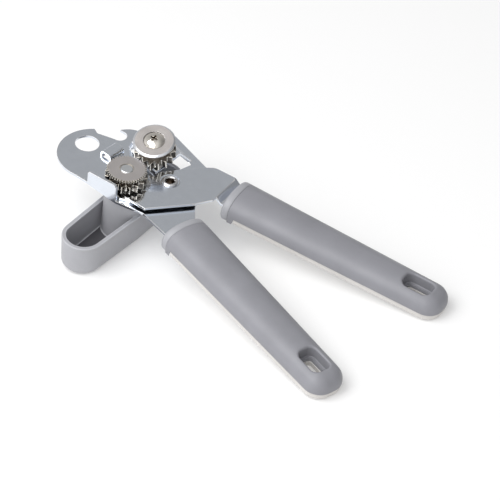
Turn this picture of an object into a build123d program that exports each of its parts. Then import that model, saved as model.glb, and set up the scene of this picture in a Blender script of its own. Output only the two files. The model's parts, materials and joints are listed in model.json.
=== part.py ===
from build123d import *
import os
from math import acos, atan2, cos, degrees, radians, sin, tan

# A pliers-type manual can opener, lying on a table on its turning knob and its two handle tips.
# Every piece is first built in the tool's own frame, in millimetres: the pivot is the origin,
# the top face of the cutter plate is Z = 0, +X runs back between the handles, and +Y is the side
# of the feed handle. The last section lays the finished tool down on the table.

# ---------------------------------------------------------------- driving dimensions
plate_t = 1.5                 # cutter plate thickness
feed_t = 1.4                  # feed plate thickness
step_down = 1.3               # depth of the pressing round the feed gear, and of the joggle gap
running_gap = 0.1             # air between faces that slide past each other
recess_r = 12.4               # the pressing round the feed gear
feed_top = running_gap + feed_t + step_down     # top face of the feed plate

feed_radius = 22.1            # pivot to feed axis
feed_angle = -131.3           # direction of the feed axis, seen from the pivot
wheel_r = 10.0                # serrated feed wheel
wheel_z = (9.1, 10.8)
wheel_teeth = 44
gear_teeth = 16
gear_tip_r = 10.7
gear_root_r = 8.6
gear_pitch_r = 9.9
gear_z = (3.2, 7.2)
tooth_shares = (0.05, 0.40)     # half widths at the tip and the root, in tooth pitches
shaft_r = 3.2
shaft_bottom = -29.1
bush_r = 5.0
bush_neck_r = 4.0
bush_bottom = -2.9
slot_clearance = 0.6

pivot_r = 3.0                 # the rivet's shank
rivet_bore_r = 2.2
dish_r = 5.4                  # the rivet's head sits in a shallow dish of the feed plate
dish_depth = 0.45

disc_r = 10.7                 # cutting wheel
disc_t = 3.0
disc_face_r = 9.7
disc_rim_drop = 0.65          # the sharp rim lies this far below the face
screw_seat_r = 5.6            # the screw head sits in a recess of the face
disc_centre = Vector(-16.55, 4.23, 16.37)       # middle of the cutting wheel's top face
lean = 13.0                   # the cutter axis leans towards the feed wheel
lean_azimuth = -80.0
post_r = 3.6
post_spigot_r = 3.0           # the part of the post riveted through the platform
post_foot_t = 1.3
screw_r = 2.0
screw_l = 9.5
cutter_gear_z = (1.0, 5.9)    # above the platform
post_rise = 11.0              # platform to the seat of the screw head
stack_h = 12.1                # platform to the cutting wheel's top face
fit = 0.05                    # radial clearance of a turning fit

handle_angle = 10.8           # each handle turns out from the middle line
handle_pitch = 1.9            # and slopes down towards its tip
handle_root = (26.2, 18.7)    # front end of each handle's middle line
handle_l = 121.3
handle_w0 = 25.1              # width at the collar
handle_w1 = 20.3              # width where the tip starts to round
handle_tip_r = 8.6
grip_top = 5.5
grip_parting = -3.2           # the grip meets the lower shell here
handle_bottom = -7.1
collar_l = 4.4
crown_r = 7.0                 # the top edges are rounded by this much
hang_s = 105.7                # middle of the hanging slot along the handle
hang_l = 15.2
hang_w = 9.7
hang_corner_r = 3.4
tang_holes = (28.0, 48.0)     # the two moulding holes of each tang
tang_hole_r = 2.0
tang_l = 60.0
core_middle = 40.0            # the spine of the lower shell, under the tang
core_l = 52.0
core_rise = 7.0

knob_turn = -84.4             # direction of the knob's long axis
knob_mid_r = 11.9
knob_end_r = 10.9
knob_reach = 31.2             # knob axis to the middle of each rounded end
knob_rim = -12.7
knob_bottom = -30.9
knob_wall = 2.3
knob_floor = 2.6
knob_draft = 0.7              # the walls close in towards the bottom
hub_r = 10.3
hub_top = -4.0
retainer_r = 5.4

# ---------------------------------------------------------------- points and planes
def polar(radius, angle):
    """A point at this radius and angle, in degrees, round the pivot."""
    return Vector(radius * cos(radians(angle)), radius * sin(radians(angle)), 0)


feed_axis = polar(feed_radius, feed_angle)
lean_dir = polar(1, lean_azimuth)
cutter_normal = lean_dir * sin(radians(lean)) + Vector(0, 0, cos(radians(lean)))
post_foot = disc_centre - cutter_normal * stack_h
deck = Plane(origin=post_foot, x_dir=lean_dir * cos(radians(lean)) - Vector(0, 0, sin(radians(lean))),
             z_dir=cutter_normal)
gear_mid = deck.offset((cutter_gear_z[0] + cutter_gear_z[1]) / 2).origin

# The handles close until the two gears mesh: a triangle of pivot, feed axis and cutter axis.
mesh_distance = gear_pitch_r * (1 + cos(radians(lean)))
gear_radius = (gear_mid.X ** 2 + gear_mid.Y ** 2) ** 0.5
gear_angle = degrees(atan2(gear_mid.Y, gear_mid.X)) - 360
closed_gap = degrees(acos((feed_radius ** 2 + gear_radius ** 2 - mesh_distance ** 2)
                          / (2 * feed_radius * gear_radius)))
squeeze = (feed_angle - gear_angle) - closed_gap
closed_axis = polar(feed_radius, feed_angle - squeeze)
mesh_line = Vector(gear_mid.X, gear_mid.Y, 0) - closed_axis
mesh_angle = degrees(atan2(mesh_line.Y, mesh_line.X))
facing = deck.to_local_coords(deck.origin - mesh_line)
facing_angle = degrees(atan2(facing.Y, facing.X))


def at_feed(z):
    """A level plane centred on the feed axis."""
    return Plane(origin=(feed_axis.X, feed_axis.Y, z))


def handle_plane(side, pitch=0.0):
    """The plane of one handle: X runs down its length. side is -1 for the cutter handle."""
    angle = radians(side * handle_angle)
    fall = radians(pitch)
    return Plane(origin=(handle_root[0], side * handle_root[1], 0),
                 x_dir=(cos(angle) * cos(fall), sin(angle) * cos(fall), -sin(fall)),
                 z_dir=(cos(angle) * sin(fall), sin(angle) * sin(fall), cos(fall)))


def on_deck(x, y):
    """The point of the tilted platform straight above this plan position, in its own plane."""
    rise = (Vector(x, y, post_foot.Z) - post_foot).dot(lean_dir) * tan(radians(lean))
    local = deck.to_local_coords(Vector(x, y, post_foot.Z - rise))
    return (local.X, local.Y)


def toothed_outline(teeth, tip_r, root_r, tip_share, root_share, first_angle):
    """Corner points of a wheel of straight-sided teeth, with one tooth at first_angle."""
    pitch = 360 / teeth
    points = []
    for index in range(teeth):
        middle = first_angle + index * pitch
        for radius, share in ((root_r, -root_share), (tip_r, -tip_share),
                              (tip_r, tip_share), (root_r, root_share)):
            corner = polar(radius, middle + share * pitch)
            points.append((corner.X, corner.Y))
    return points


# ================================================================ cutter arm
# ---------------------------------------------------------------- cutter plate
lobe_centre = (-41.4, -11.0)
lobe_r = 19.4
lobe_hole = (-49.7, -8.4)
lobe_hole_r = 6.1
flange_x = (-28.9, -9.4)
flange_y = -29.2
tang = handle_plane(-1)


def beside(plane, along, across):
    """Plan position of a point given along and across a handle."""
    point = plane.from_local_coords(Vector(along, across, 0))
    return (point.X, point.Y)


with BuildPart() as cutter_plate:
    with BuildSketch(Plane.XY.offset(-plate_t)):
        with BuildLine():
            Polyline((-37.0, -29.9), (flange_x[0], flange_y), (flange_x[1], flange_y), (5.9, -25.0),
                     beside(tang, -6.2, -9.6), beside(tang, 12.0, -8.6), beside(tang, 16.0, -6.0),
                     beside(tang, tang_l, -5.0), beside(tang, tang_l, 5.0), beside(tang, 16.0, 6.0),
                     beside(tang, 12.0, 8.6), beside(tang, -2.0, 9.6), (19.0, -1.3), (14.0, 12.0),
                     (4.0, 23.7), (-24.0, 29.8))
            ThreePointArc((-24.0, 29.8), (-34.0, 25.8), (-39.3, 18.6))
            ThreePointArc((-39.3, 18.6), (-43.8, 15.6), (-46.3, 11.7))
            Line((-46.3, 11.7), (-43.9, 12.1))
            ThreePointArc((-43.9, 12.1), (-39.5, 8.2), (-43.0, 4.6))
            Polyline((-43.0, 4.6), (-52.0, 1.2), (-55.4, 2.6))
            ThreePointArc((-55.4, 2.6), (lobe_centre[0] - lobe_r, lobe_centre[1]), (-37.0, -29.9))
        make_face()
        with Locations(lobe_hole):
            Circle(lobe_hole_r, mode=Mode.SUBTRACT)
        with BuildLine(mode=Mode.PRIVATE) as swing:
            CenterArc((0, 0), feed_radius, feed_angle - squeeze - 1.0, squeeze + 1.5)
        SlotArc(swing.wire(), 2 * (bush_r + slot_clearance), mode=Mode.SUBTRACT)
        Circle(pivot_r, mode=Mode.SUBTRACT)
        for along in tang_holes:
            with Locations(beside(tang, along, 0)):
                Circle(tang_hole_r, mode=Mode.SUBTRACT)
    extrude(amount=plate_t)
    # The long front edge is turned up into a flange that grows towards the pivot.
    with BuildSketch(Plane.XZ.offset(-flange_y)):
        with BuildLine():
            Polyline((flange_x[0], -plate_t), (flange_x[1], -plate_t), (flange_x[1], 7.2))
            RadiusArc((flange_x[1], 7.2), (flange_x[1] - 2.4, 9.4), -2.4)
            Polyline((flange_x[1] - 2.4, 9.4), (flange_x[0] + 1.2, 7.0), (flange_x[0], 5.8),
                     (flange_x[0], -plate_t))
        make_face()
    extrude(amount=-plate_t)
    # The raised platform under the cutting wheel, with sloping walls behind it and at its left.
    with BuildSketch(Plane.XY.offset(-plate_t)):
        Polygon((-35.0, 5.9), (-9.6, -0.1), (-4.6, 23.2), (-30.4, 27.0), align=None)
    with BuildSketch(deck):
        Polygon(on_deck(-32.2, 5.3), on_deck(-9.6, -0.1), on_deck(-9.2, 16.7), on_deck(-28.6, 20.2),
                align=None)
    loft(ruled=True)
    with BuildSketch(Plane.XY.offset(-plate_t - 0.5)):
        Polygon((-33.0, 4.6), (-8.2, -1.2), (-3.0, 21.2), (-28.9, 25.4), align=None)
    with BuildSketch(deck.offset(-plate_t)):
        Polygon(on_deck(-31.0, 4.2), on_deck(-5.5, -1.8), on_deck(-5.5, 15.1), on_deck(-27.4, 18.9),
                align=None)
    loft(ruled=True, mode=Mode.SUBTRACT)
    # The pressed guide that keeps the can's rim beside the feed wheel.
    with BuildSketch(Plane.XZ.offset(9.4)):
        with BuildLine():
            Polyline((-39.4, -0.2), (-32.2, -0.2), (-32.2, 0.9))
            RadiusArc((-32.2, 0.9), (-34.4, 3.1), -2.2)
            Line((-34.4, 3.1), (-37.2, 3.1))
            RadiusArc((-37.2, 3.1), (-39.4, 0.9), -2.2)
            Line((-39.4, 0.9), (-39.4, -0.2))
        make_face()
    extrude(amount=-9.9)
    with BuildSketch(Plane.XZ.offset(9.5)):
        with BuildLine():
            Polyline((-38.2, -plate_t - 0.2), (-33.4, -plate_t - 0.2), (-33.4, 0.9))
            RadiusArc((-33.4, 0.9), (-34.4, 1.9), -1.0)
            Line((-34.4, 1.9), (-37.2, 1.9))
            RadiusArc((-37.2, 1.9), (-38.2, 0.9), -1.0)
            Line((-38.2, 0.9), (-38.2, -plate_t - 0.2))
        make_face()
    extrude(amount=-8.7, mode=Mode.SUBTRACT)
    # The seat of the cutter post.
    with BuildSketch(deck):
        Circle(post_spigot_r)
    extrude(amount=-plate_t - 0.6, mode=Mode.SUBTRACT)

# ---------------------------------------------------------------- pivot
seat = feed_top - dish_depth + 0.02
with BuildPart() as pivot_rivet:
    with BuildSketch(Plane.XZ):
        with BuildLine():
            Polyline((rivet_bore_r, -2.7), (4.6, -2.7), (5.2, -2.1), (5.2, -plate_t),
                     (pivot_r, -plate_t), (pivot_r, seat), (4.0, seat))
            ThreePointArc((4.0, seat), (3.5, feed_top + 0.6), (2.6, feed_top + 0.4))
            Polyline((2.6, feed_top + 0.4), (rivet_bore_r, feed_top - 0.2), (rivet_bore_r, -2.7))
        make_face()
    revolve(axis=Axis.Z)

with BuildPart() as pivot_spacer:
    with BuildSketch():
        Circle(6.4)
        Circle(pivot_r, mode=Mode.SUBTRACT)
    extrude(amount=feed_top - feed_t - 0.05)

# ---------------------------------------------------------------- cutter post and its fasteners
with BuildPart() as cutter_post:
    with BuildSketch(deck.offset(-plate_t - post_foot_t)):
        Circle(4.8)
    extrude(amount=post_foot_t)
    with BuildSketch(deck.offset(-plate_t)):
        Circle(post_spigot_r)
    extrude(amount=plate_t)
    with BuildSketch(deck):
        Circle(post_r)
    extrude(amount=post_rise)
    with BuildSketch(deck.offset(-plate_t - post_foot_t)):
        Circle(screw_r)
    extrude(amount=post_rise + plate_t + post_foot_t, mode=Mode.SUBTRACT)

with BuildPart() as spring_washer:
    with BuildSketch(deck.offset(0.05)):
        Circle(6.3)
        Circle(post_r + 0.2, mode=Mode.SUBTRACT)
    extrude(amount=0.8)

with BuildPart() as cutter_screw:
    screw_axis = deck.offset(post_rise)
    with BuildSketch(Plane(origin=screw_axis.origin, x_dir=screw_axis.x_dir,
                           z_dir=-screw_axis.y_dir)):
        with BuildLine():
            Polyline((0, 0), (5.2, 0), (5.3, 0.9))
            ThreePointArc((5.3, 0.9), (3.3, 2.4), (0, 2.9))
            Line((0, 2.9), (0, 0))
        make_face()
    revolve(axis=Axis(screw_axis.origin, screw_axis.z_dir))
    with BuildSketch(screw_axis.offset(-screw_l)):
        Circle(screw_r)
    extrude(amount=screw_l)
    with BuildSketch(screw_axis.offset(1.2)):
        Rectangle(3.8, 1.0)
        Rectangle(1.0, 3.8)
    extrude(amount=2.0, mode=Mode.SUBTRACT)


# ---------------------------------------------------------------- handles
def handle_outline(length, inset):
    """Half-round-nosed plan of a handle, drawn round its middle line from X = 0."""
    half0 = handle_w0 / 2 - inset
    half1 = handle_w1 / 2 - inset
    tip = length - inset
    with BuildSketch() as plan:
        with BuildLine():
            Polyline((inset, -half0), (tip, -half1), (tip, half1), (inset, half0), close=True)
        make_face()
        fillet(plan.vertices().group_by(Axis.X)[-1], handle_tip_r - inset)
    return plan.sketch


def handle_parts(side):
    """The soft grip, the hard lower shell and the collar of one handle."""
    plane = handle_plane(side, handle_pitch)
    level = handle_plane(side)
    with BuildPart() as body:
        with BuildSketch(plane.offset(handle_bottom)):
            add(handle_outline(handle_l, 0))
        extrude(amount=grip_top - handle_bottom)
        fillet(body.faces().sort_by(Axis.Z)[-1].edges(), crown_r)
        fillet(body.faces().sort_by(Axis.Z)[0].edges(), 2.8)
        with BuildSketch(plane.offset(handle_bottom)):
            with Locations((hang_s, 0)):
                RectangleRounded(hang_l, hang_w, hang_corner_r)
        extrude(amount=grip_top - handle_bottom, mode=Mode.SUBTRACT)
    with BuildPart() as tang_space:
        with BuildSketch(level.offset(-plate_t)):
            with Locations((-1.0, 0)):
                Rectangle(17.3, 19.6, align=(Align.MIN, Align.CENTER))
                Rectangle(tang_l + 1.0, 12.0, align=(Align.MIN, Align.CENTER))
        extrude(amount=plate_t)
    with BuildPart() as core:
        with BuildSketch(plane.offset(grip_parting)):
            with Locations((core_middle, 0)):
                SlotOverall(core_l, 12.0)
        extrude(amount=core_rise)
        with BuildSketch(level.offset(-plate_t)):
            with Locations((core_middle, 0)):
                Rectangle(2 * core_l, 30.0)
        extrude(amount=core_rise, mode=Mode.SUBTRACT)
        with BuildSketch(level.offset(-plate_t)):
            with Locations((tang_holes[0], 0), (tang_holes[1], 0)):
                Circle(tang_hole_r)
        extrude(amount=plate_t + 1.6)
    with BuildPart() as collar:
        add(body.part)
        split(bisect_by=Plane(plane.from_local_coords(Vector(collar_l, 0, 0)), z_dir=plane.x_dir),
              keep=Keep.BOTTOM)
        add(tang_space.part, mode=Mode.SUBTRACT)
    with BuildPart() as grip:
        add(body.part)
        split(bisect_by=Plane(plane.from_local_coords(Vector(collar_l + 0.15, 0, 0)),
                              z_dir=plane.x_dir), keep=Keep.TOP)
        with BuildSketch(plane.offset(handle_bottom - 1)):
            with Locations((10.0, 0)):
                Rectangle(handle_l, 30.0, align=(Align.MIN, Align.CENTER))
        extrude(amount=grip_parting - handle_bottom + 1, mode=Mode.SUBTRACT)
        add(tang_space.part, mode=Mode.SUBTRACT)
        add(core.part, mode=Mode.SUBTRACT)
    with BuildPart() as base:
        with BuildSketch(plane.offset(handle_bottom)):
            add(handle_outline(handle_l, 0.5))
            with Locations((hang_s, 0)):
                RectangleRounded(hang_l + 0.8, hang_w + 0.8, hang_corner_r + 0.4,
                                 mode=Mode.SUBTRACT)
            Rectangle(10.0, 30.0, align=(Align.MIN, Align.CENTER), mode=Mode.SUBTRACT)
        extrude(amount=grip_parting - handle_bottom)
        fillet(base.faces().sort_by(Axis.Z)[0].edges(), 1.4)
        add(core.part)
    return grip.part, base.part, collar.part


# ================================================================ feed arm
def feed_plan():
    """Plan of the feed plate from the handle joggle forward to the feed axis."""
    with BuildSketch() as plan:
        with BuildLine():
            Polyline((17.4, 26.4), (9.0, 25.0), (7.2, 24.0), (4.2, 20.8), (-7.4, 3.0))
            ThreePointArc((-7.4, 3.0), (-8.0, 0.0), (-7.4, -3.0))
            Line((-7.4, -3.0), (-22.4, -12.2))
            ThreePointArc((-22.4, -12.2), (-23.0, -20.0), (-16.0, -25.2))
            Polyline((-16.0, -25.2), (-8.4, -27.2), (-5.4, -25.2), (5.9, -24.3), (19.6, -3.4),
                     (23.8, 6.0), (20.6, 25.2), (17.4, 26.4))
        make_face()
    return plan.sketch


with BuildPart() as feed_plate:
    with BuildSketch(Plane.XY.offset(feed_top - feed_t)):
        add(feed_plan())
        with Locations((feed_axis.X, feed_axis.Y)):
            Circle(recess_r, mode=Mode.SUBTRACT)
    extrude(amount=feed_t)
    with BuildSketch(Plane.XY.offset(running_gap)):
        add(feed_plan())
        with Locations((feed_axis.X, feed_axis.Y)):
            Circle(recess_r + feed_t, mode=Mode.INTERSECT)
            Circle(bush_neck_r, mode=Mode.SUBTRACT)
    extrude(amount=feed_t)
    # The joggle that brings the tang down to the level of the other handle's.
    arm = handle_plane(1)
    with BuildSketch(Plane(origin=arm.origin, x_dir=arm.x_dir, z_dir=-arm.y_dir)):
        with BuildLine():
            Polyline((-4.6, feed_top), (-1.6, 0), (tang_l, 0), (tang_l, -feed_t), (-2.4, -feed_t),
                     (-5.4, feed_top - feed_t), (-7.2, feed_top - feed_t), (-7.2, feed_top),
                     close=True)
        make_face()
    extrude(amount=9.2, both=True)
    with BuildSketch(arm.offset(-feed_t - 1)):
        with Locations((16.0, 10.0), (16.0, -10.0)):
            Rectangle(tang_l, 8.0, align=(Align.MIN, Align.CENTER))
        with Locations((tang_holes[0], 0), (tang_holes[1], 0)):
            Circle(tang_hole_r)
    extrude(amount=feed_t + 2, mode=Mode.SUBTRACT)
    # The pivot hole in its dished ring.
    with BuildSketch(Plane.XY.offset(feed_top - feed_t)):
        Circle(pivot_r + fit)
    extrude(amount=feed_t, mode=Mode.SUBTRACT)
    with BuildSketch(Plane.XZ):
        Polygon((0, feed_top + 0.1), (dish_r + 0.1, feed_top + 0.1), (dish_r, feed_top),
                (dish_r - 1.1, feed_top - dish_depth), (0, feed_top - dish_depth), align=None)
    revolve(axis=Axis.Z, mode=Mode.SUBTRACT)

with BuildPart() as feed_bush:
    with BuildSketch(at_feed(bush_bottom)):
        Circle(bush_r)
    extrude(amount=running_gap - bush_bottom)
    with BuildSketch(at_feed(running_gap)):
        Circle(bush_neck_r)
    extrude(amount=feed_t)
    with BuildSketch(at_feed(bush_bottom)):
        Circle(shaft_r + fit)
    extrude(amount=running_gap + feed_t - bush_bottom, mode=Mode.SUBTRACT)

with BuildPart() as feed_keeper:
    with BuildSketch(at_feed(-2.6)):
        Circle(8.2)
        Circle(bush_r, mode=Mode.SUBTRACT)
    extrude(amount=1.0)

# ================================================================ feed drive
with BuildPart() as feed_shaft:
    with BuildSketch(at_feed(shaft_bottom)):
        Circle(shaft_r)
    extrude(amount=wheel_z[1] + 0.1 - shaft_bottom)
    chamfer(feed_shaft.edges().group_by(Axis.Z)[-1], 0.35)

with BuildPart() as feed_wheel:
    with BuildSketch(at_feed(wheel_z[0])):
        Polygon(*toothed_outline(wheel_teeth, wheel_r, wheel_r - 0.95, 0.12, 0.40, 0), align=None)
        Circle(shaft_r, mode=Mode.SUBTRACT)
    extrude(amount=wheel_z[1] - wheel_z[0])
    with BuildSketch(at_feed(gear_z[1])):
        Circle(5.6)
        Circle(shaft_r, mode=Mode.SUBTRACT)
    extrude(amount=wheel_z[0] - gear_z[1])
    with BuildSketch(at_feed(wheel_z[1] - 0.4)):
        Circle(shaft_r + 0.45)
        Circle(shaft_r, mode=Mode.SUBTRACT)
    extrude(amount=0.4, mode=Mode.SUBTRACT)

with BuildPart() as feed_gear:
    with BuildSketch(at_feed(gear_z[0])):
        Polygon(*toothed_outline(gear_teeth, gear_tip_r, gear_root_r, *tooth_shares,
                                 mesh_angle + squeeze), align=None)
        Circle(shaft_r, mode=Mode.SUBTRACT)
    extrude(amount=gear_z[1] - gear_z[0])
    with BuildSketch(at_feed(running_gap + feed_t + running_gap)):
        Circle(6.0)
        Circle(shaft_r, mode=Mode.SUBTRACT)
    extrude(amount=gear_z[0] - feed_t - 2 * running_gap)

with BuildPart() as knob_washer:
    with BuildSketch(at_feed(hub_top)):
        Circle(6.6)
        Circle(shaft_r, mode=Mode.SUBTRACT)
    extrude(amount=0.9)

knob_dir = polar(1, knob_turn)
knob_axis = Plane(origin=(feed_axis.X, feed_axis.Y, 0), x_dir=knob_dir, z_dir=(0, 0, 1))


def knob_plan(inset):
    """Plan of the knob: two rounded ends joined by a slightly wider middle."""
    with BuildSketch() as plan:
        Circle(knob_mid_r - inset)
        with Locations((knob_reach, 0), (-knob_reach, 0)):
            Circle(knob_end_r - inset)
        make_hull()
    return plan.sketch


with BuildPart() as knob:
    with BuildSketch(knob_axis.offset(knob_bottom)):
        add(knob_plan(knob_draft))
    with BuildSketch(knob_axis.offset(knob_rim)):
        add(knob_plan(0))
    loft()
    fillet(knob.faces().sort_by(Axis.Z)[0].edges(), 3.4)
    with BuildSketch(knob_axis.offset(knob_bottom + knob_floor)):
        add(knob_plan(knob_wall + knob_draft))
    with BuildSketch(knob_axis.offset(knob_rim)):
        add(knob_plan(knob_wall))
    loft(mode=Mode.SUBTRACT)
    with BuildSketch(knob_axis.offset(knob_bottom + 1.0)):
        Circle(hub_r)
    extrude(amount=hub_top - knob_bottom - 1.0)
    fillet(knob.faces().sort_by(Axis.Z)[-1].edges(), 1.0)
    with BuildSketch(knob_axis.offset(hub_top)):
        Circle(shaft_r)
    extrude(amount=shaft_bottom - hub_top, mode=Mode.SUBTRACT)
    with BuildSketch(knob_axis.offset(knob_bottom)):
        Circle(retainer_r)
    extrude(amount=shaft_bottom - knob_bottom, mode=Mode.SUBTRACT)

with BuildPart() as knob_retainer:
    with BuildSketch(knob_axis.offset(knob_bottom + 0.8)):
        Circle(retainer_r)
    extrude(amount=shaft_bottom - knob_bottom - 0.8)

# ================================================================ cutter
with BuildPart() as cutting_wheel:
    with BuildSketch(Plane(origin=deck.origin, x_dir=deck.x_dir, z_dir=-deck.y_dir)):
        with BuildLine():
            Polyline((post_r + fit, stack_h - disc_t), (disc_face_r - 1.4, stack_h - disc_t),
                     (disc_r - 0.1, stack_h - disc_rim_drop - 0.35), (disc_r, stack_h - disc_rim_drop),
                     (disc_face_r, stack_h), (screw_seat_r, stack_h), (screw_seat_r, post_rise - fit),
                     (post_r + fit, post_rise - fit), close=True)
        make_face()
    revolve(axis=Axis(deck.origin, deck.z_dir))

with BuildPart() as cutter_spacer:
    with BuildSketch(deck.offset(cutter_gear_z[1])):
        Circle(5.6)
        Circle(post_r + fit, mode=Mode.SUBTRACT)
    extrude(amount=stack_h - disc_t - cutter_gear_z[1])

with BuildPart() as cutter_gear:
    with BuildSketch(deck.offset(cutter_gear_z[0])):
        Polygon(*toothed_outline(gear_teeth, gear_tip_r, gear_root_r, *tooth_shares,
                                 facing_angle + 180 / gear_teeth), align=None)
        Circle(post_r + fit, mode=Mode.SUBTRACT)
    extrude(amount=cutter_gear_z[1] - cutter_gear_z[0])

front_grip, front_base, front_collar = handle_parts(-1)
rear_grip, rear_base, rear_collar = handle_parts(1)

pieces = {
    "cutter_plate": cutter_plate.part, "pivot_rivet": pivot_rivet.part,
    "pivot_spacer": pivot_spacer.part, "cutter_post": cutter_post.part,
    "spring_washer": spring_washer.part, "cutter_screw": cutter_screw.part,
    "front_handle_grip": front_grip, "front_handle_base": front_base,
    "front_handle_collar": front_collar,
    "feed_plate": feed_plate.part, "feed_bush": feed_bush.part, "feed_keeper": feed_keeper.part,
    "rear_handle_grip": rear_grip, "rear_handle_base": rear_base,
    "rear_handle_collar": rear_collar,
    "feed_shaft": feed_shaft.part, "feed_wheel": feed_wheel.part, "feed_gear": feed_gear.part,
    "knob_washer": knob_washer.part, "knob": knob.part, "knob_retainer": knob_retainer.part,
    "cutting_wheel": cutting_wheel.part, "cutter_spacer": cutter_spacer.part,
    "cutter_gear": cutter_gear.part,
}

# ---------------------------------------------------------------- laid down on the table
rest_tilt = 7.63              # the head stands higher than the handle tips
tilted = Rotation(0, rest_tilt, 0)
box = Compound(children=[tilted * piece for piece in pieces.values()]).bounding_box()
middle = box.center()
rest = Location((-middle.X, -middle.Y, -box.min.Z)) * Location(tilted)
os.makedirs("parts", exist_ok=True)
for name, piece in pieces.items():
    placed = piece.moved(rest)
    placed.label = name
    export_step(placed, f"parts/{name}.step")
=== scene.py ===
import json
import math

import bmesh
import bpy
from mathutils import Matrix, Vector
from mathutils.geometry import delaunay_2d_cdt

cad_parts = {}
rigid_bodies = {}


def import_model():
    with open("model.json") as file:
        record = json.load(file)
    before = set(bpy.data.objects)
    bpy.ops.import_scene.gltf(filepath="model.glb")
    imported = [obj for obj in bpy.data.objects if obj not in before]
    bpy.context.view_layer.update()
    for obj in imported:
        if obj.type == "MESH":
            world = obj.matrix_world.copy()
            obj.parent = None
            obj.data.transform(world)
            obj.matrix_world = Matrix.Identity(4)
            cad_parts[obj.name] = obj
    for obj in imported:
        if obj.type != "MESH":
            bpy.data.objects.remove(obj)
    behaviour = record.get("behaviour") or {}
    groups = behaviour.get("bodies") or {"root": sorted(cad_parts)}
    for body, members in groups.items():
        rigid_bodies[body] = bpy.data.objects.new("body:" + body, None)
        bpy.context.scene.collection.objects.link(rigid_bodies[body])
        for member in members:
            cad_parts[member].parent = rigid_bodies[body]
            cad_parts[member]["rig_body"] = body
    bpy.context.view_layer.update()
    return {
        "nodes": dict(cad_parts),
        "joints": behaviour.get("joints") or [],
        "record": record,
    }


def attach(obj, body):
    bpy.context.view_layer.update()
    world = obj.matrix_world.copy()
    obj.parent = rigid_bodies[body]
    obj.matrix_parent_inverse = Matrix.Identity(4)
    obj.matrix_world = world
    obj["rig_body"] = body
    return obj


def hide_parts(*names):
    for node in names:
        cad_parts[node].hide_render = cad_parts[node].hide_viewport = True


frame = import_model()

# ---------------------------------------------------------------- the tool's own frame
# Shapes below are drawn in millimetres in the tool's frame: the pivot is the origin, the top of
# the cutter plate is Z = 0 and X runs back between the handles. `tool` lays them on the table.
MM = 0.001
joints = {joint["name"]: joint for joint in frame["joints"]}
pivot_row = Vector(joints["handle_squeeze"]["pos_m"])
feed_row = Vector(joints["feed_turn"]["pos_m"])
post_row = Vector(joints["cutter_turn"]["pos_m"])
post_axis = Vector(joints["cutter_turn"]["axis"])
up = -Vector(joints["handle_squeeze"]["axis"])
side_dir = Vector((0, 1, 0))
tool = Matrix((side_dir.cross(up), side_dir, up)).transposed().to_4x4()
tool.translation = pivot_row
tool = tool @ Matrix.Scale(MM, 4)
from_row = tool.inverted()

HANDLE_ROOT = (26.2, 18.7)
HANDLE_ANGLE = 10.8
HANDLE_PITCH = 1.9
HANDLE_L = 121.3
HALF_FRONT = 12.55
HALF_TIP = 10.15
TIP_R = 8.6
GRIP_TOP = 5.5
PARTING = -3.2
HANDLE_BOTTOM = -7.1
COLLAR_L = 4.4
SLOT_S = 105.7
SLOT_HALF_L = 7.6
SLOT_HALF_W = 4.85
SLOT_R = 3.4

BEVEL_SEGMENTS = 2
SHARP_ANGLE = 24                # edges turning more than this are rounded
SMOOTH_ANGLE = 32               # edges turning more than this stay crisp in the shading
HANDLE_SMOOTH_ANGLE = 40


def handle_matrix(side):
    """Handle plan (along, across, up) to the row frame. side is -1 for the cutter handle."""
    turn = Matrix.Rotation(math.radians(side * HANDLE_ANGLE), 4, "Z")
    fall = Matrix.Rotation(math.radians(HANDLE_PITCH), 4, "Y")
    return tool @ Matrix.Translation((HANDLE_ROOT[0], side * HANDLE_ROOT[1], 0)) @ turn @ fall


# ---------------------------------------------------------------- mesh helpers
def inset_loop(corners, inset, weights, arc_steps, runs):
    """A convex outline moved inwards. corners are (x, y, radius), anticlockwise; weights scale
    the inset of the edge after each corner; runs gives the fractions that divide that edge."""
    count = len(corners)
    points = [Vector(corner[:2]) for corner in corners]
    along = [(points[(i + 1) % count] - points[i]).normalized() for i in range(count)]
    inward = [Vector((-d.y, d.x)) for d in along]
    moved = []
    for i in range(count):
        a, b = inward[i - 1], inward[i]
        det = a.x * b.y - a.y * b.x
        u, v = inset * weights[i - 1], inset * weights[i]
        moved.append(points[i] + Vector((u * b.y - v * a.y, v * a.x - u * b.x)) / det)
    arcs = []
    for i in range(count):
        radius = max(corners[i][2] - inset, 0.01)
        turn = math.acos(max(-1, min(1, along[i - 1].dot(along[i]))))
        back = radius * math.tan(turn / 2)
        start = moved[i] - along[i - 1] * back
        centre = start + inward[i - 1] * radius
        first = start - centre
        arc = []
        for step in range(arc_steps + 1):
            angle = turn * step / arc_steps
            c, s = math.cos(angle), math.sin(angle)
            arc.append(centre + Vector((first.x * c - first.y * s, first.x * s + first.y * c)))
        arcs.append(arc)
    loop = []
    for i in range(count):
        loop += arcs[i]
        start, end = arcs[i][-1], arcs[(i + 1) % count][0]
        loop += [start.lerp(end, share) for share in runs[i]]
    return loop


def inside(point, loop):
    """True if a plan point lies inside a closed loop."""
    hit = False
    for a, b in zip(loop, loop[1:] + loop[:1]):
        if (a.y > point.y) != (b.y > point.y):
            if point.x < a.x + (point.y - a.y) * (b.x - a.x) / (b.y - a.y):
                hit = not hit
    return hit


def edge_distance(point, path):
    """Distance from a plan point to an open path."""
    best = 1e9
    for a, b in zip(path, path[1:]):
        step = b - a
        share = max(0, min(1, (point - a).dot(step) / max(step.length_squared, 1e-12)))
        best = min(best, (point - a - step * share).length)
    return best


BOW_ALONG = 8
BOW_ACROSS = 0.2


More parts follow.
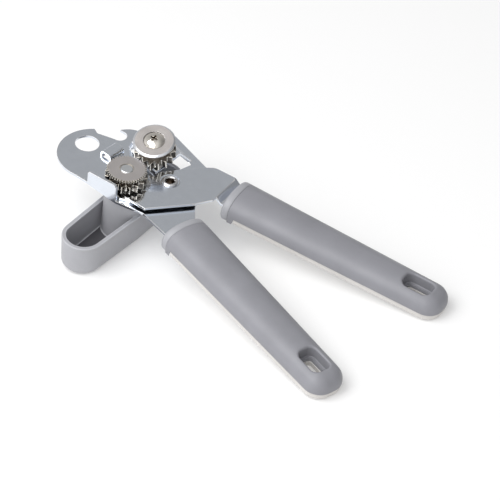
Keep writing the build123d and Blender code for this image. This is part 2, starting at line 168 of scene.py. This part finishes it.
def bowed(point):
    """A handle's plan point, moved so that straight edges along and across it bow outwards."""
    along = (point[0] - HANDLE_L / 2) / (HANDLE_L / 2)
    across = point[1] / HALF_FRONT
    return Vector((point[0] + BOW_ALONG * along * (1 - across ** 2),
                   point[1] * (1 + BOW_ACROSS * (1 - along ** 2))))


def quarter(steps):
    """The sine and cosine at even steps through a quarter turn."""
    turns = [math.pi / 2 * step / steps for step in range(steps + 1)]
    return [(math.sin(turn), math.cos(turn)) for turn in turns]


class Builder:
    """Collects the faces of one handle piece, in millimetres."""

    def __init__(self):
        self.bm = bmesh.new()

    def ring(self, points):
        return [self.bm.verts.new(p) for p in points]

    def raised(self, loop, height):
        """A ring over a plan loop. height is a number or a function of the plan point."""
        rise = height if callable(height) else lambda p: height
        return self.ring([(p.x, p.y, rise(p)) for p in loop])

    def skin(self, rings):
        for low, high in zip(rings, rings[1:]):
            for i in range(len(low)):
                j = (i + 1) % len(low)
                self.bm.faces.new((low[i], low[j], high[j], high[i]))

    def fill(self, outer, hole, extra=(), height=None):
        """Triangles between the outer ring and the hole, through the extra points."""
        verts = [*outer, *hole]
        edges = [(i, (i + 1) % len(outer)) for i in range(len(outer))]
        edges += [(len(outer) + i, len(outer) + (i + 1) % len(hole)) for i in range(len(hole))]
        # Straight edges are bowed while the triangles are made, so none of them is a sliver.
        flat = [bowed(v.co) for v in verts] + [bowed(p) for p in extra]
        outline, opening = flat[:len(outer)], flat[len(outer):len(verts)]
        coords, _, faces, ids, _, _ = delaunay_2d_cdt(flat, edges, [], 0, 1e-7, True)
        corners = []
        for source in ids:
            first = source[0]
            if first < len(verts):
                corners.append(verts[first])
            else:
                p = extra[first - len(verts)]
                corners.append(self.bm.verts.new((p.x, p.y, height(p))))
        for face in faces:
            centre = sum((coords[i] for i in face), Vector((0, 0))) / len(face)
            if inside(centre, outline) and not inside(centre, opening):
                self.bm.faces.new([corners[i] for i in face])

    def piece(self, name, side, nodes, slot):
        bmesh.ops.remove_doubles(self.bm, verts=self.bm.verts[:], dist=1e-4)
        bmesh.ops.recalc_face_normals(self.bm, faces=self.bm.faces[:])
        finish_piece(self.bm, name, handle_matrix(side), body_of[side], nodes[side], slot,
                     HANDLE_SMOOTH_ANGLE)


def finish_piece(bm, name, matrix, body, node, slot, angle):
    """One visible piece that stands for a CAD node and rides on its body."""
    mesh = bpy.data.meshes.new(name)
    bm.to_mesh(mesh)
    bm.free()
    mesh.transform(matrix)
    for polygon in mesh.polygons:
        polygon.use_smooth = True
    mesh.set_sharp_from_angle(angle=math.radians(angle))
    piece = bpy.data.objects.new(name, mesh)
    bpy.context.scene.collection.objects.link(piece)
    mesh.materials.append(finishes[slot])
    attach(piece, body)
    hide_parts(node)
    return piece


def refine(node, slot, width, paint=None, marks=("cut_edge",)):
    """A copy of a CAD node with its flat faces merged and its sharp edges rounded. The rounded
    edges take marks[0], a painted highlight; paint picks a finish, or a painted shade, for each
    face, 0 being the slot's."""
    source = frame["nodes"][node]
    bm = bmesh.new()
    bm.from_mesh(source.data)
    bmesh.ops.remove_doubles(bm, verts=bm.verts[:], dist=2e-6)
    bmesh.ops.dissolve_limit(bm, angle_limit=math.radians(0.4), use_dissolve_boundaries=False,
                             verts=bm.verts[:], edges=bm.edges[:])
    bm.normal_update()
    if paint:
        for face in bm.faces:
            face.material_index = paint(face)
    picked = [edge for edge in bm.edges
              if len(edge.link_faces) == 2 and edge.calc_face_angle(0) > math.radians(SHARP_ANGLE)]
    # The rounded edges get material 1, a painted highlight.
    bmesh.ops.bevel(bm, geom=picked, offset=width * MM, segments=BEVEL_SEGMENTS, profile=0.5,
                    affect="EDGES", clamp_overlap=False, miter_outer="ARC", material=1)
    piece = finish_piece(bm, node + "_fine", Matrix.Identity(4), source["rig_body"], node, slot,
                         SMOOTH_ANGLE)
    for mark in marks:
        piece.data.materials.append(details[mark])
    weighted = piece.modifiers.new("weighted", "WEIGHTED_NORMAL")
    weighted.keep_sharp = True


# ---------------------------------------------------------------- materials
def new_material(name):
    material = bpy.data.materials.new(name)
    material.use_nodes = True
    return material, material.node_tree, material.node_tree.nodes["Principled BSDF"]


def add(tree, kind, links, **values):
    """A node with its settings, and its inputs set to numbers or linked to sockets."""
    node = tree.nodes.new(kind)
    for key, value in values.items():
        setattr(node, key, value)
    for socket, source in links.items():
        if isinstance(source, bpy.types.NodeSocket):
            tree.links.new(source, node.inputs[socket])
        else:
            node.inputs[socket].default_value = source
    return node


def ramp(tree, source, stops):
    node = add(tree, "ShaderNodeValToRGB", {0: source})
    element = node.color_ramp.elements
    while len(element) < len(stops):
        element.new(0.5)
    for item, (position, value) in zip(element, stops):
        item.position = position
        item.color = (*value, 1) if hasattr(value, "__len__") else (value, value, value, 1)
    return node.outputs[0]


def noise(tree, vector, scale, detail=3.0, rough=0.5):
    node = add(tree, "ShaderNodeTexNoise", {"Vector": vector, "Scale": scale, "Detail": detail,
                                            "Roughness": rough})
    return node.outputs[0]


def coordinates(tree):
    return add(tree, "ShaderNodeTexCoord", {}).outputs["Object"]


def scaled(tree, scale):
    """Object coordinates in metres, scaled to the cycles per metre of a pattern."""
    return add(tree, "ShaderNodeMapping", {"Vector": coordinates(tree),
                                           "Scale": (scale, scale, scale)}).outputs[0]


def vector_math(tree, operation, first, second=None):
    links = {0: first} if second is None else {0: first, 1: second}
    return add(tree, "ShaderNodeVectorMath", links, operation=operation)


def bump(tree, shader, height, strength, distance):
    node = add(tree, "ShaderNodeBump", {"Height": height, "Strength": strength,
                                        "Distance": distance})
    tree.links.new(node.outputs[0], shader.inputs["Normal"])


def tones(tree, shader, colour_map, colour_stops, gloss_map, gloss_stops):
    """Colour and roughness, each spread over a pattern between two (position, value) stops."""
    tree.links.new(ramp(tree, colour_map, colour_stops), shader.inputs["Base Color"])
    tree.links.new(ramp(tree, gloss_map, gloss_stops), shader.inputs["Roughness"])


def shade(colour, factor):
    return tuple(min(1, channel * factor) for channel in colour)


def metal(name, colour, rough, grain=900, grain_depth=0.00001, tint=0.08):
    """Plated or ground steel: faint grain, patchy gloss, a little staining."""
    material, tree, shader = new_material(name)
    shader.inputs["Metallic"].default_value = 1.0
    grain_map = noise(tree, scaled(tree, grain), 1.0, 2.0)
    patch_map = noise(tree, scaled(tree, 70), 1.0, 4.0, 0.6)
    mixed = add(tree, "ShaderNodeMath", {0: grain_map, 1: patch_map}, operation="MULTIPLY")
    stops = [(0.12, shade(colour, 1 - tint)), (0.42, shade(colour, 1 + tint * 0.5))]
    tones(tree, shader, mixed.outputs[0], stops, patch_map, [(0.3, rough[0]), (0.7, rough[1])])
    bump(tree, shader, grain_map, 0.35, grain_depth)
    return material


def turned_metal(name, colour, rough, centre, axis, pitch=5200, depth=0.000012, tint=0.12):
    """Steel with fine rings round an axis, as a face that was turned or ground."""
    material, tree, shader = new_material(name)
    shader.inputs["Metallic"].default_value = 1.0
    offset = vector_math(tree, "SUBTRACT", coordinates(tree), centre)
    spin = vector_math(tree, "CROSS_PRODUCT", offset.outputs[0], axis)
    radius = vector_math(tree, "LENGTH", spin.outputs[0])
    rings = add(tree, "ShaderNodeTexNoise", {"W": radius.outputs["Value"], "Scale": pitch,
                                             "Detail": 2.0}, noise_dimensions="1D").outputs[0]
    patch_map = noise(tree, scaled(tree, 160), 1.0, 4.0, 0.6)
    stops = [(0.35, shade(colour, 1 - tint)), (0.65, shade(colour, 1 + tint * 0.4))]
    tones(tree, shader, rings, stops, patch_map, [(0.3, rough[0]), (0.7, rough[1])])
    bump(tree, shader, rings, 0.4, depth)
    return material


def plastic(name, colour, rough, pebble=2600, depth=0.00002, tint=0.05):
    """Satin moulded plastic: a fine pebbled skin, faint clouding and slightly rubbed patches."""
    material, tree, shader = new_material(name)
    cloud = noise(tree, scaled(tree, 55), 1.0, 5.0, 0.6)
    stops = [(0.3, shade(colour, 1 - tint)), (0.7, shade(colour, 1 + tint))]
    tones(tree, shader, cloud, stops, cloud, [(0.25, rough[1]), (0.75, rough[0])])
    shader.inputs["Specular IOR Level"].default_value = 0.45
    bump(tree, shader, noise(tree, scaled(tree, pebble), 1.0, 2.0), 0.25, depth)
    return material


def make_all(table):
    """Materials by name, from rows of a maker and its values."""
    return {name: maker(name, *values) for name, (maker, *values) in table.items()}


# Rows are colour, roughness range, then grain and its depth, or centre and axis of the rings.
finishes = make_all({
    "plated_steel": (metal, (0.76, 0.80, 0.865), (0.10, 0.20), 260, 0.000012, 0.03),
    "rivet_steel": (metal, (0.72, 0.72, 0.73), (0.14, 0.26)),
    "turned_steel": (turned_metal, (0.5, 0.5, 0.5), (0.25, 0.4), feed_row, up),
    "screw_steel": (metal, (0.80, 0.76, 0.70), (0.05, 0.12), 700, 0.000004, 0.05),
    "shaft_steel": (turned_metal, (0.80, 0.82, 0.84), (0.16, 0.28), feed_row, up, 3800, 0.00001,
                    0.10),
    "wheel_steel": (turned_metal, (0.72, 0.68, 0.665), (0.28, 0.42), feed_row, up),
    "cutting_steel": (turned_metal, (0.84, 0.79, 0.765), (0.26, 0.38), post_row, post_axis),
    "gear_steel": (metal, (0.52, 0.48, 0.43), (0.20, 0.35), 900, 0.00002, 0.20),
    "grip_grey": (plastic, (0.240, 0.241, 0.264), (0.40, 0.50), 2600, 0.00002, 0.06),
    "collar_grey": (plastic, (0.335, 0.338, 0.362), (0.36, 0.44)),
    "shell_cream": (plastic, (0.60, 0.58, 0.56), (0.46, 0.55)),
    "knob_grey": (plastic, (0.36, 0.362, 0.385), (0.36, 0.46)),
})
# Colours for parts of a piece: painted highlights on rounded edges, painted shade on the
# flanks of gear teeth, in recesses and in the knob's pockets, and a ground bevel.
details = make_all({
    "cut_edge": (metal, (0.93, 0.93, 0.94), (0.16, 0.28), 1500, 0.000008, 0.06),
    "tooth_edge": (metal, (0.95, 0.90, 0.80), (0.14, 0.24), 1500, 0.000008, 0.10),
    "tooth_flank": (metal, (0.13, 0.115, 0.10), (0.22, 0.36), 900, 0.00002, 0.30),
    "ground_bevel": (turned_metal, (0.80, 0.82, 0.86), (0.14, 0.22), post_row, post_axis, 4200),
    "pocket": (plastic, (0.085, 0.083, 0.092), (0.40, 0.50)),
    "recess": (metal, (0.10, 0.07, 0.05), (0.25, 0.40), 1200, 0.00001, 0.25),
    "screw_edge": (metal, (0.88, 0.80, 0.68), (0.06, 0.12), 1200, 0.000004, 0.06),
    "soft_edge": (plastic, (0.44, 0.443, 0.468), (0.34, 0.42)),
})

# CAD nodes that stay as they are get their finish here.
slot_of = {row["node"]: row["material_slot"] for row in frame["record"]["subparts"]}
for node, obj in frame["nodes"].items():
    obj.data.materials.clear()
    obj.data.materials.append(finishes[slot_of[node]])


# ---------------------------------------------------------------- handles
CROWN_START = -2.3              # height at which the sides begin to curve in to the top
CROWN_ACROSS = 2.3              # powers of the crown's curve
CROWN_UP = 2.1
RIM_W = 3.3                     # width of the rings that follow the rim
RIM_RINGS = 12
RIM_SPREAD = 1.9
SKIRT_END = 7.8                 # the grip reaches down to the bottom as far back as this
SKIRT_LIFT = 0.5
PIECE_GAP = 0.15
LEDGE = 1.4                     # the slot's inner ledge
LEDGE_TOP = -1.3
LIP_R = 1.3                     # the slot's rounded lip
LIP_DROP = 0.25
TOP_MARGIN = 0.3
TOP_PITCH = 1.2
TOP_ROWS = 8
SHELL_INSET = 0.35
SHELL_R = 2.0
SHELL_GAP = 0.06
COLLAR_BOTTOM_R = 2.8
COLLAR_FRONT_R = 1.8
CORNER_STEPS = 14
SLOT_CORNER_STEPS = 10
# Where points lie along each side, as shares of its length, closer where the skirt ends.
SIDE_SHARES = [0.004, 0.012, 0.024, 0.032, 0.034, 0.036, 0.04, 0.05]
SIDE_SHARES += [0.07 + 0.03 * i for i in range(31)]


def half_width(x):
    """Half the handle's width at this distance from its front end."""
    return HALF_FRONT + (HALF_TIP - HALF_FRONT) * x / HANDLE_L


def section_height(distance, x):
    """Height of the crowned top at this distance in from the edge."""
    share = max(0.0, min(1.0, distance / half_width(x)))
    rise = (1 - (1 - share) ** CROWN_ACROSS) ** (1 / CROWN_UP)
    return CROWN_START + (GRIP_TOP - CROWN_START) * rise


def handle_loop(start, inset):
    """The handle's plan from `start` along it, moved in from its sides and tip."""
    half = half_width(start)
    corners = ((start, -half, 0.0), (HANDLE_L, -HALF_TIP, TIP_R), (HANDLE_L, HALF_TIP, TIP_R),
               (start, half, 0.0))
    back = [1 - share for share in reversed(SIDE_SHARES)]
    front = [i / 16 for i in range(1, 16)]
    return inset_loop(corners, inset, (1, 1, 1, 0.002), CORNER_STEPS,
                      (SIDE_SHARES, front, back, front))


def side_path():
    """The handle's two sides and tip as one open path from front to front."""
    loop = handle_loop(0, 0)
    first = next(i for i, p in enumerate(loop) if p.x < 0.01 and p.y < 0)
    path = loop[first:] + loop[:first]
    return [p for p in path if p.x > 0.05 or abs(p.y) > HALF_FRONT - 0.01]


def slot_loop(grow):
    """The hang slot's outline, moved out by `grow`."""
    near, far = SLOT_S - SLOT_HALF_L, SLOT_S + SLOT_HALF_L
    corners = ((near, -SLOT_HALF_W, SLOT_R), (far, -SLOT_HALF_W, SLOT_R),
               (far, SLOT_HALF_W, SLOT_R), (near, SLOT_HALF_W, SLOT_R))
    run = [i / 8 for i in range(1, 8)]
    return inset_loop(corners, -grow, (1, 1, 1, 1), SLOT_CORNER_STEPS, (run, run, run, run))


def build_grip(side, name):
    """The crowned upper moulding, with its slot and the skirt behind the collar."""
    start = COLLAR_L + PIECE_GAP
    outer_path = side_path()
    build = Builder()

    def low_edge(x):
        return HANDLE_BOTTOM + SKIRT_LIFT if x < SKIRT_END else PARTING

    def top(p):
        distance = edge_distance(Vector(p[:2]), outer_path)
        return section_height(distance, p[0])

    rings = []
    for inset, lift in ((0.30, 0.0), (0.06, 0.12), (0.0, 0.35)):
        rings.append(build.raised(handle_loop(start, inset), lambda p: low_edge(p.x) + lift))
    rings.append(build.raised(handle_loop(start, 0), CROWN_START))
    for step in range(1, RIM_RINGS + 1):
        inset = RIM_W * (step / RIM_RINGS) ** RIM_SPREAD
        rings.append(build.raised(handle_loop(start, inset),
                                  lambda p: section_height(inset, p.x)))
    rings.append(build.raised(handle_loop(start, RIM_W), top))
    build.skin(rings)

    slot_rings = []
    for grow, height in ((-LEDGE, PARTING), (-LEDGE, -1.5), (0.15 - LEDGE, LEDGE_TOP),
                         (-0.3, LEDGE_TOP), (0, -1.0), (0, 1.0)):
        slot_rings.append(build.raised(slot_loop(grow), height))
    lip = quarter(8)
    for step, (sine, cosine) in enumerate(lip):
        drop = LIP_R * (1 - sine) + LIP_DROP * (1 - step / (len(lip) - 1))
        slot_rings.append(build.raised(slot_loop(LIP_R * (1 - cosine)), lambda p: top(p) - drop))
    build.skin(slot_rings)

    keep_out = slot_loop(LIP_R + TOP_MARGIN)
    keep_in = handle_loop(start, RIM_W + TOP_MARGIN)
    extra = []
    for column in range(1, 100):
        x = start + column * TOP_PITCH
        reach = half_width(x) - RIM_W - 0.35
        for row in range(-TOP_ROWS, TOP_ROWS + 1):
            p = Vector((x, reach * row / TOP_ROWS))
            if inside(p, keep_in) and not inside(p, keep_out):
                extra.append(p)
    build.fill(rings[-1], slot_rings[-1], extra, top)
    build.fill(rings[0], slot_rings[0])
    build.piece(name, side, grip_of, "grip_grey")


def build_base(side, name):
    """The pale lower shell, with its rounded bottom edge."""
    start = SKIRT_END + PIECE_GAP
    build = Builder()
    rings = []
    for sine, cosine in quarter(6):
        inset = SHELL_INSET + SHELL_R * (1 - sine)
        rings.append(build.raised(handle_loop(start, inset),
                                  HANDLE_BOTTOM + SHELL_R * (1 - cosine)))
    rings.append(build.raised(handle_loop(start, SHELL_INSET), PARTING - 0.25))
    rings.append(build.raised(handle_loop(start, 0.6), PARTING - SHELL_GAP))
    build.skin(rings)
    walls = []
    for grow, height in ((0.8 - LEDGE, HANDLE_BOTTOM), (0.2 - LEDGE, HANDLE_BOTTOM + 0.6),
                         (-0.3 - LEDGE, PARTING - 0.3), (0.1 - LEDGE, PARTING - SHELL_GAP)):
        walls.append(build.raised(slot_loop(grow), height))
    build.skin(walls)
    build.fill(rings[0], walls[0])
    build.fill(rings[-1], walls[-1])
    build.piece(name, side, base_of, "shell_cream")


def collar_section(x, shrink):
    """The handle's cross-section at x, drawn in by `shrink` all round."""
    half = half_width(x)
    corner = half - COLLAR_BOTTOM_R
    points = []
    for step in range(-24, 25):
        across = math.sin(math.pi / 2 * step / 24) * half
        points.append(Vector((across, section_height(half - abs(across), x))))
    for sine, cosine in quarter(8):
        points.append(Vector((half - COLLAR_BOTTOM_R * (1 - cosine),
                              HANDLE_BOTTOM + COLLAR_BOTTOM_R * (1 - sine))))
    for step in range(1, 12):
        points.append(Vector((corner - 2 * corner * step / 12, HANDLE_BOTTOM)))
    for sine, cosine in quarter(8):
        points.append(Vector((-half + COLLAR_BOTTOM_R * (1 - sine),
                              HANDLE_BOTTOM + COLLAR_BOTTOM_R * (1 - cosine))))
    middle = Vector((0, (GRIP_TOP + HANDLE_BOTTOM) / 2))
    scale = Vector((1 - shrink / half, 1 - shrink / ((GRIP_TOP - HANDLE_BOTTOM) / 2)))
    return [(x, p.x * scale.x, (p.y - middle.y) * scale.y + middle.y) for p in points]


def build_collar(side, name):
    """The collar at the handle's front, with a rounded front edge."""
    build = Builder()
    places = [(COLLAR_FRONT_R * (1 - sine), COLLAR_FRONT_R * (1 - cosine))
              for sine, cosine in quarter(8)]
    rings = [build.ring(collar_section(x, shrink)) for x, shrink in places][::-1]
    for x, shrink in ((3.0, 0), (COLLAR_L - 0.25, 0), (COLLAR_L - 0.05, 0.15)):
        rings.append(build.ring(collar_section(x, shrink)))
    build.skin(rings)
    build.bm.faces.new(rings[0][::-1])
    build.bm.faces.new(rings[-1])
    build.piece(name, side, collar_of, "collar_grey")


body_of = {-1: "cutter_arm", 1: "feed_arm"}
grip_of = {-1: "front_handle_grip", 1: "rear_handle_grip"}
base_of = {-1: "front_handle_base", 1: "rear_handle_base"}
collar_of = {-1: "front_handle_collar", 1: "rear_handle_collar"}
for side, word in ((-1, "front"), (1, "rear")):
    build_grip(side, word + "_grip_skin")
    build_base(side, word + "_lower_shell")
    build_collar(side, word + "_collar_ring")

# ---------------------------------------------------------------- metal pieces and knob
LEVEL = 0.99                    # a face square to an axis turns at least this much towards it
STANDING = 0.5                  # a face along an axis turns less than this towards it
DISC_FACE_R = 9.8
CROSS_REACH = 2.0
CROSS_DEPTH = 1.0
RIVET_BORE_R = 2.4
KNOB_REACH = 31.2
KNOB_HUB_R = 10.3
KNOB_TURN = math.radians(-84.4)
KNOB_TAPER = 0.035
POCKET_R = 8.9
POCKET_CLEAR = 0.6
knob_dir = Vector((math.cos(KNOB_TURN), math.sin(KNOB_TURN), 0))
screw_verts = [v.co for v in frame["nodes"]["cutter_screw"].data.vertices]
screw_top = max(screw_verts, key=lambda co: co.dot(post_axis))


def off_axis(face, centre, axis):
    """Distance of a face's middle from an axis, in millimetres."""
    return (face.calc_center_median() - centre).cross(axis).length / MM


def shade_tooth_flanks(axis):
    """Picks the faces that stand along a wheel's axis, which are the flanks of its teeth, for a
    dark painted shade.
    """
    return lambda face: 2 if abs(face.normal.dot(axis)) < STANDING else 0


def disc_face(face):
    """Everything on the cutting wheel outside its ground face."""
    level = abs(face.normal.dot(post_axis)) > LEVEL
    return 0 if level and off_axis(face, post_row, post_axis) < DISC_FACE_R else 2


def shaded_cross_recess(face):
    """The walls and floor of the screw's cross, which get a dark painted shade."""
    near = off_axis(face, post_row, post_axis) < CROSS_REACH
    wall = abs(face.normal.dot(post_axis)) < STANDING
    low = (face.calc_center_median() - screw_top).dot(post_axis) < -CROSS_DEPTH * MM
    return 2 if near and (wall or low) else 0


# The rivet's bore, which gets a dark painted shade.
def shaded_rivet_bore(face):
    return 2 if off_axis(face, pivot_row, up) < RIVET_BORE_R else 0


def shaded_pocket_face(face):
    """The inner walls and floors of the knob's two open pockets, inside its outer wall, which get
    a dark painted shade.
    """
    spot = from_row @ face.calc_center_median() - from_row @ feed_row
    along, across = spot.dot(knob_dir), spot.cross(knob_dir).z
    past = max(0, abs(along) - KNOB_REACH)
    reach = POCKET_R - KNOB_TAPER * min(abs(along), KNOB_REACH)
    clear = math.hypot(spot.x, spot.y) > KNOB_HUB_R + POCKET_CLEAR
    return 2 if math.hypot(past, across) < reach and clear and face.normal.dot(up) > -0.3 else 0


refine("cutter_plate", "plated_steel", 0.22)
refine("feed_plate", "plated_steel", 0.22)
# Teeth get painted highlights on their rounded edges and a dark painted shade on their flanks.
refine("feed_wheel", "wheel_steel", 0.10, shade_tooth_flanks(up), ("tooth_edge", "tooth_flank"))
refine("feed_gear", "gear_steel", 0.20, shade_tooth_flanks(up), ("tooth_edge", "tooth_flank"))
refine("cutter_gear", "gear_steel", 0.20, shade_tooth_flanks(post_axis), ("tooth_edge", "tooth_flank"))
refine("cutting_wheel", "cutting_steel", 0.08, disc_face, ("cut_edge", "ground_bevel"))
# Rounded edges get a painted highlight; the screw's cross and the rivet's bore get a painted
# shade.
refine("cutter_screw", "screw_steel", 0.10, shaded_cross_recess, ("screw_edge", "recess"))
refine("pivot_rivet", "rivet_steel", 0.08, shaded_rivet_bore, ("cut_edge", "recess"))
# The knob's rounded edges get a lighter painted highlight and its pockets a dark painted shade.
refine("knob", "knob_grey", 0.55, shaded_pocket_face, ("soft_edge", "pocket"))

# ---------------------------------------------------------------- floor, light, camera
FLOOR_SIZE = 3.0
FLOOR_GREY = 0.69
FLOOR_GLOW = 0.24
TARGET = Vector((0.0, 0.0, 0.02))
SKY_STRENGTH = 0.85
MIRROR_ELEVATION = math.radians(45)
# The camera is held in the tool's frame, where PLATE_LEAN is how far the plates lean from its
# level. Lengths are metres, angles degrees.
CAMERA_AZIMUTH = 42.11
CAMERA_ELEVATION = 37.07
PLATE_LEAN = 8.05
CAMERA_DISTANCE = 1.20248
CAMERA_SIDE = 0.04004
CAMERA_UP = -0.03223
CAMERA_LENS = 173.9

azimuth, elevation = math.radians(CAMERA_AZIMUTH), math.radians(CAMERA_ELEVATION)
to_row = tool.to_3x3().normalized() @ Matrix.Rotation(math.radians(-PLATE_LEAN), 3, "Y")
to_camera = to_row @ Vector((math.sin(azimuth) * math.cos(elevation),
                             -math.cos(azimuth) * math.cos(elevation), math.sin(elevation)))
right = to_row @ Vector((math.cos(azimuth), math.sin(azimuth), 0))
image_up = to_camera.cross(right)
away = Vector((-to_camera.x, -to_camera.y, 0)).normalized()


def make_floor():
    bm = bmesh.new()
    bmesh.ops.create_grid(bm, x_segments=8, y_segments=8, size=FLOOR_SIZE)
    mesh = bpy.data.meshes.new("floor")
    bm.to_mesh(mesh)
    bm.free()
    floor = bpy.data.objects.new("floor", mesh)
    bpy.context.scene.collection.objects.link(floor)
    material, _, shader = new_material("floor_paper")
    shader.inputs["Base Color"].default_value = (FLOOR_GREY, FLOOR_GREY, FLOOR_GREY, 1)
    shader.inputs["Emission Color"].default_value = (1, 1, 1, 1)
    shader.inputs["Emission Strength"].default_value = FLOOR_GLOW
    shader.inputs["Roughness"].default_value = 0.8
    shader.inputs["Specular IOR Level"].default_value = 0.1
    mesh.materials.append(material)


def soft_light(name, offset, size, power):
    """An area light aimed at TARGET. offset is to the right, away from the camera and up."""
    lamp = bpy.data.lights.new(name, "AREA")
    lamp.shape = "RECTANGLE"
    lamp.size, lamp.size_y = size
    lamp.energy = power
    holder = bpy.data.objects.new(name, lamp)
    bpy.context.scene.collection.objects.link(holder)
    holder.location = TARGET + right * offset[0] + away * offset[1] + Vector((0, 0, offset[2]))
    holder.rotation_mode = "QUATERNION"
    holder.rotation_quaternion = (TARGET - holder.location).to_track_quat("-Z", "Y")


def make_sky():
    """A pale studio, darker opposite the camera and to its right, which shades the bare metal."""
    world = bpy.data.worlds.new("studio")
    bpy.context.scene.world = world
    world.use_nodes = True
    sky = world.node_tree
    background = next(node for node in sky.nodes if node.type == "BACKGROUND")
    direction = add(sky, "ShaderNodeTexCoord", {}).outputs["Generated"]
    mirror = away * math.cos(MIRROR_ELEVATION) + Vector((0, 0, math.sin(MIRROR_ELEVATION)))
    facing = vector_math(sky, "DOT_PRODUCT", direction, mirror)
    sideways = vector_math(sky, "DOT_PRODUCT", direction, right)
    back_tone = ramp(sky, facing.outputs["Value"], [(0.35, 1.0), (0.93, 0.52)])
    side_tone = ramp(sky, sideways.outputs["Value"], [(0.35, 1.0), (0.85, 0.35)])
    sky_tone = add(sky, "ShaderNodeMath", {0: back_tone, 1: side_tone}, operation="MULTIPLY")
    sky.links.new(sky_tone.outputs[0], background.inputs["Color"])
    background.inputs["Strength"].default_value = SKY_STRENGTH


def make_camera():
    data = bpy.data.cameras.new("camera")
    data.lens = CAMERA_LENS
    data.sensor_width = 36.0
    data.clip_start = 0.05
    data.clip_end = 20
    camera = bpy.data.objects.new("camera", data)
    bpy.context.scene.collection.objects.link(camera)
    camera.location = (pivot_row + right * CAMERA_SIDE + image_up * CAMERA_UP
                       + to_camera * CAMERA_DISTANCE)
    camera.rotation_mode = "QUATERNION"
    turn = Matrix((right, image_up, to_camera)).transposed()
    camera.rotation_quaternion = turn.to_quaternion()
    bpy.context.scene.camera = camera


make_floor()
make_sky()
soft_light("key", (-0.55, -0.22, 0.97), (0.9, 0.8), 8)
soft_light("fill", (-0.35, -0.75, 0.7), (0.8, 0.8), 3)
make_camera()
bpy.context.scene.view_settings.view_transform = "Standard"
